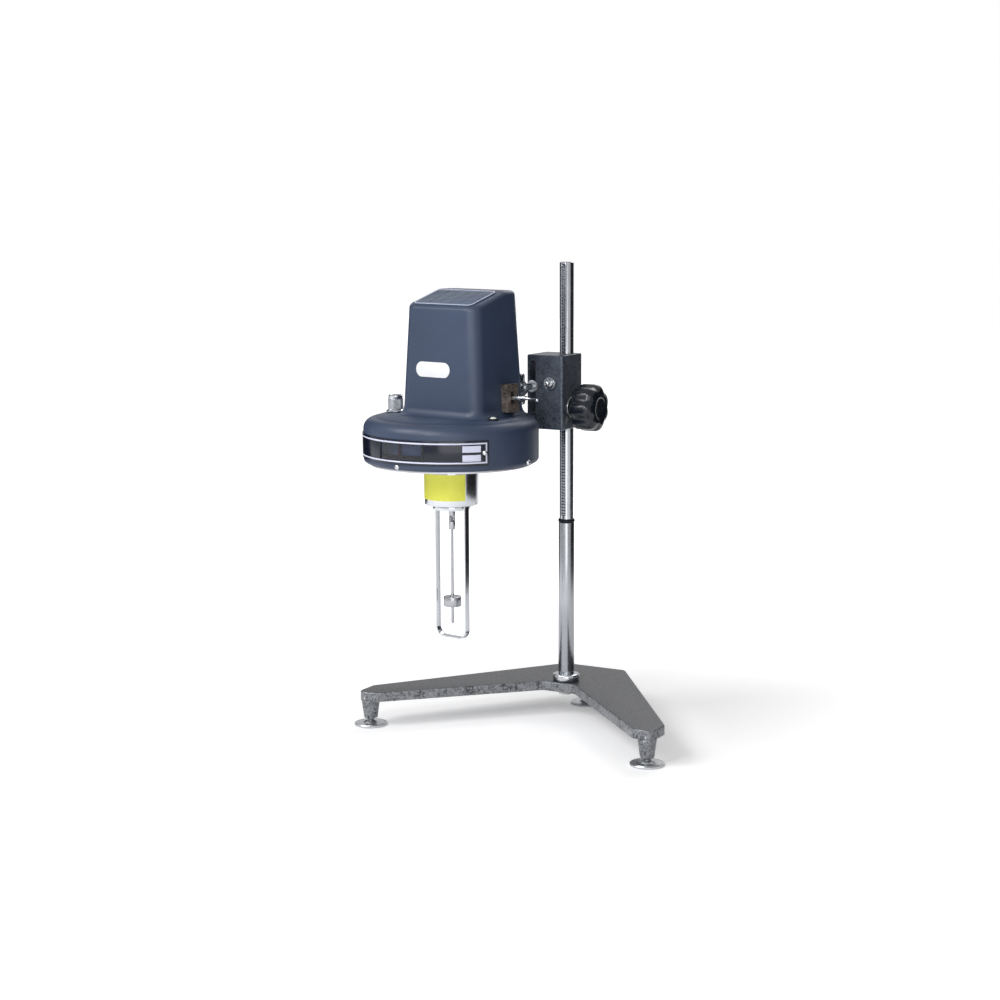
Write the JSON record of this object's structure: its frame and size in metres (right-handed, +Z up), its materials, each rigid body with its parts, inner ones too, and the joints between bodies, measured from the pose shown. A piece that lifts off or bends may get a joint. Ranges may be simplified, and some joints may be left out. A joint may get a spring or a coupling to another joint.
{
  "type": "rotational viscometer",
  "caption": "Dial viscometer: measuring head with spindle, guard and dial window on a rack column with a lobed lifting knob and a V-shaped cast base on levelling feet.",
  "frame": {"origin": "on the bench under the middle of the whole object's box", "axes": "+Z up along the column, the front of the stand with the two open arms faces -Y"},
  "size_m": [0.359, 0.2796, 0.487],
  "materials": {
    "base_paint": "textured dark grey paint",
    "block_paint": "hammertone enamel",
    "casing_paint": "satin slate paint",
    "polished_aluminium": "satin",
    "strip_film": "satin",
    "clear_window": "clear",
    "table_paint": "satin",
    "white_plate": "gloss",
    "yellow_label": "satin",
    "ground_steel": "polished",
    "steel_tube": "satin",
    "plated_steel": "zinc",
    "rack_steel": "milled",
    "bronze": "turned",
    "black_knob": "gloss",
    "nylon": "matt",
    "lever_paint": "hammertone enamel",
    "level_glass": "clear",
    "black_plastic": "satin",
    "motor_can": "satin",
    "dial_white": "matt white",
    "pointer_red": "matt",
    "plate_aluminium": "milled",
    "bright_nickel": "polished",
    "stainless": "polished",
    "foot_metal": "turned"
  },
  "bodies": {
    "stand": {"base_casting": "base_paint", "column_rod": "ground_steel", "rack": "rack_steel", "column_washer": "plated_steel", "column_nut": "plated_steel", "column_flange": "ground_steel", "column_sleeve": "steel_tube", "column_ring": "ground_steel"},
    "slider": {"slider_block": "block_paint", "pinion_bush": "bronze"},
    "lift_drive": {"lift_knob": "black_knob", "pinion_shaft": "plated_steel"},
    "brake_pad_body": {"brake_pad": "nylon"},
    "brake_screw_body": {"brake_screw": "plated_steel"},
    "stud_carriage": {"mounting_stud": "plated_steel", "clamp_washers": "plated_steel"},
    "clamp_nut_body": {"clamp_nut": "plated_steel"},
    "head": {"lower_casing": "casing_paint", "tower_cover": "casing_paint", "bottom_cover": "polished_aluminium", "front_strip": "strip_film", "dial_window": "clear_window", "top_table": "table_paint", "name_plate": "white_plate", "collar": "bright_nickel", "collar_label": "yellow_label", "guard": "bright_nickel", "bubble_level": "level_glass", "lever_bracket": "lever_paint", "lever_pin": "plated_steel", "head_bracket": "lever_paint", "head_screws": "plated_steel", "switch_frame": "black_plastic", "power_inlet": "black_plastic", "motor": "motor_can", "gear_plate": "plate_aluminium", "motor_plate": "plate_aluminium", "plate_pillars": "plate_aluminium", "shaft_bushes": "bronze"},
    "lever": {"pointer_lever": "plated_steel"},
    "speed_control": {"speed_knob": "plated_steel", "speed_shaft": "plated_steel"},
    "rocker": {"switch_rocker": "black_plastic"},
    "drive": {"output_gear": "bronze", "dial": "dial_white"},
    "cluster": {"cluster_gear": "bronze"},
    "motor_rotor": {"motor_pinion": "plated_steel"},
    "pointer_unit": {"pointer_shaft": "stainless", "pointer": "pointer_red", "hairspring": "bronze", "coupling_upper": "stainless"},
    "cross": {"coupling_cross": "stainless"},
    "spindle_unit": {"coupling_lower": "stainless", "spindle": "stainless"},
    "pad_left": {"foot_pad_left": "foot_metal"},
    "stud_left": {"foot_stud_left": "plated_steel"},
    "pad_right": {"foot_pad_right": "foot_metal"},
    "stud_right": {"foot_stud_right": "plated_steel"},
    "pad_rear": {"foot_pad_rear": "foot_metal"},
    "stud_rear": {"foot_stud_rear": "plated_steel"}
  },
  "joints": [
    {"name": "foot_height_left", "type": "slide", "parent": "stand", "child": "pad_left", "axis": [0, 0, 1], "range_m": [-0.008, 0.0025]},
    {"name": "foot_turn_left", "type": "hinge", "parent": "pad_left", "child": "stud_left", "pos_m": [-0.162, -0.0685, 0.01], "axis": [0, 0, 1], "range_deg": [-2310, 725]},
    {"name": "foot_height_right", "type": "slide", "parent": "stand", "child": "pad_right", "axis": [0, 0, 1], "range_m": [-0.008, 0.0025]},
    {"name": "foot_turn_right", "type": "hinge", "parent": "pad_right", "child": "stud_right", "pos_m": [0.162, -0.0685, 0.01], "axis": [0, 0, 1], "range_deg": [-2310, 725]},
    {"name": "foot_height_rear", "type": "slide", "parent": "stand", "child": "pad_rear", "axis": [0, 0, 1], "range_m": [-0.008, 0.0025]},
    {"name": "foot_turn_rear", "type": "hinge", "parent": "pad_rear", "child": "stud_rear", "pos_m": [0, 0.1175, 0.01], "axis": [0, 0, 1], "range_deg": [-2310, 725]},
    {"name": "head_lift", "type": "slide", "parent": "stand", "child": "slider", "axis": [0, 0, 1], "range_m": [-0.094, 0.094]},
    {"name": "knob_turn", "type": "hinge", "parent": "slider", "child": "lift_drive", "pos_m": [0, 0.05645, 0.336], "axis": [1, 0, 0], "range_deg": [-780, 780]},
    {"name": "brake_travel", "type": "slide", "parent": "slider", "child": "brake_pad_body", "axis": [0, -1, 0], "range_m": [0, 0.0008]},
    {"name": "brake_turn", "type": "hinge", "parent": "brake_pad_body", "child": "brake_screw_body", "pos_m": [-0.001, 0.0375, 0.362], "axis": [0, -1, 0], "range_deg": [0, 240]},
    {"name": "stud_height", "type": "slide", "parent": "slider", "child": "stud_carriage", "axis": [0, 0, 1], "range_m": [-0.025, 0.023]},
    {"name": "clamp_turn", "type": "hinge", "parent": "stud_carriage", "child": "clamp_nut_body", "pos_m": [-0.0236, 0.0825, 0.358], "axis": [0, 1, 0], "range_deg": [-90, 0]},
    {"name": "head_tilt", "type": "hinge", "parent": "stud_carriage", "child": "head", "pos_m": [-0.0236, 0.0125, 0.358], "axis": [0, 1, 0], "range_deg": [-4, 4]},
    {"name": "lever_press", "type": "hinge", "parent": "head", "child": "lever", "pos_m": [-0.01219, -0.03163, 0.352], "axis": [0.1736, 0.9848, 0], "range_deg": [0, 12], "stiffness_Nm_per_rad": 0.02, "springref_deg": -9.74},
    {"name": "speed_select", "type": "hinge", "parent": "head", "child": "speed_control", "pos_m": [-0.13859, -0.04894, 0.3334], "axis": [0, 0, 1], "range_deg": [-315, 0]},
    {"name": "switch_rock", "type": "hinge", "parent": "head", "child": "rocker", "pos_m": [-0.08183, 0.01093, 0.434], "axis": [-0.9848, 0.1736, 0], "range_deg": [0, 18]},
    {"name": "drive_spin", "type": "hinge", "parent": "head", "child": "drive", "pos_m": [-0.072, -0.0485, 0.35], "axis": [0, 0, 1], "continuous": true},
    {"name": "cluster_spin", "type": "hinge", "parent": "head", "child": "cluster", "pos_m": [-0.08692, -0.03337, 0.362], "axis": [0, 0, 1], "continuous": true},
    {"name": "motor_spin", "type": "hinge", "parent": "head", "child": "motor_rotor", "pos_m": [-0.06696, -0.01994, 0.362], "axis": [0, 0, 1], "continuous": true},
    {"name": "pointer_swing", "type": "hinge", "parent": "drive", "child": "pointer_unit", "pos_m": [-0.072, -0.0485, 0.3], "axis": [0, 0, 1], "range_deg": [-300, 5], "stiffness_Nm_per_rad": 0.0004},
    {"name": "cross_swing", "type": "hinge", "parent": "pointer_unit", "child": "cross", "pos_m": [-0.072, -0.0485, 0.226], "axis": [0.9848, -0.1736, 0], "range_deg": [-4, 4]},
    {"name": "spindle_swing", "type": "hinge", "parent": "cross", "child": "spindle_unit", "pos_m": [-0.072, -0.0485, 0.226], "axis": [0.1736, 0.9848, 0], "range_deg": [-4, 4]}
  ],
  "couplings": [
    {"joint": "foot_turn_left", "follows": "foot_height_left", "rad_per_m": 5026.5},
    {"joint": "foot_turn_right", "follows": "foot_height_right", "rad_per_m": 5026.5},
    {"joint": "foot_turn_rear", "follows": "foot_height_rear", "rad_per_m": 5026.5},
    {"joint": "knob_turn", "follows": "head_lift", "rad_per_m": -142.86},
    {"joint": "brake_turn", "follows": "brake_travel", "rad_per_m": 5026.5},
    {"joint": "cluster_spin", "follows": "drive_spin", "ratio": -2.5333},
    {"joint": "motor_spin", "follows": "drive_spin", "ratio": 7.6}
  ]
}
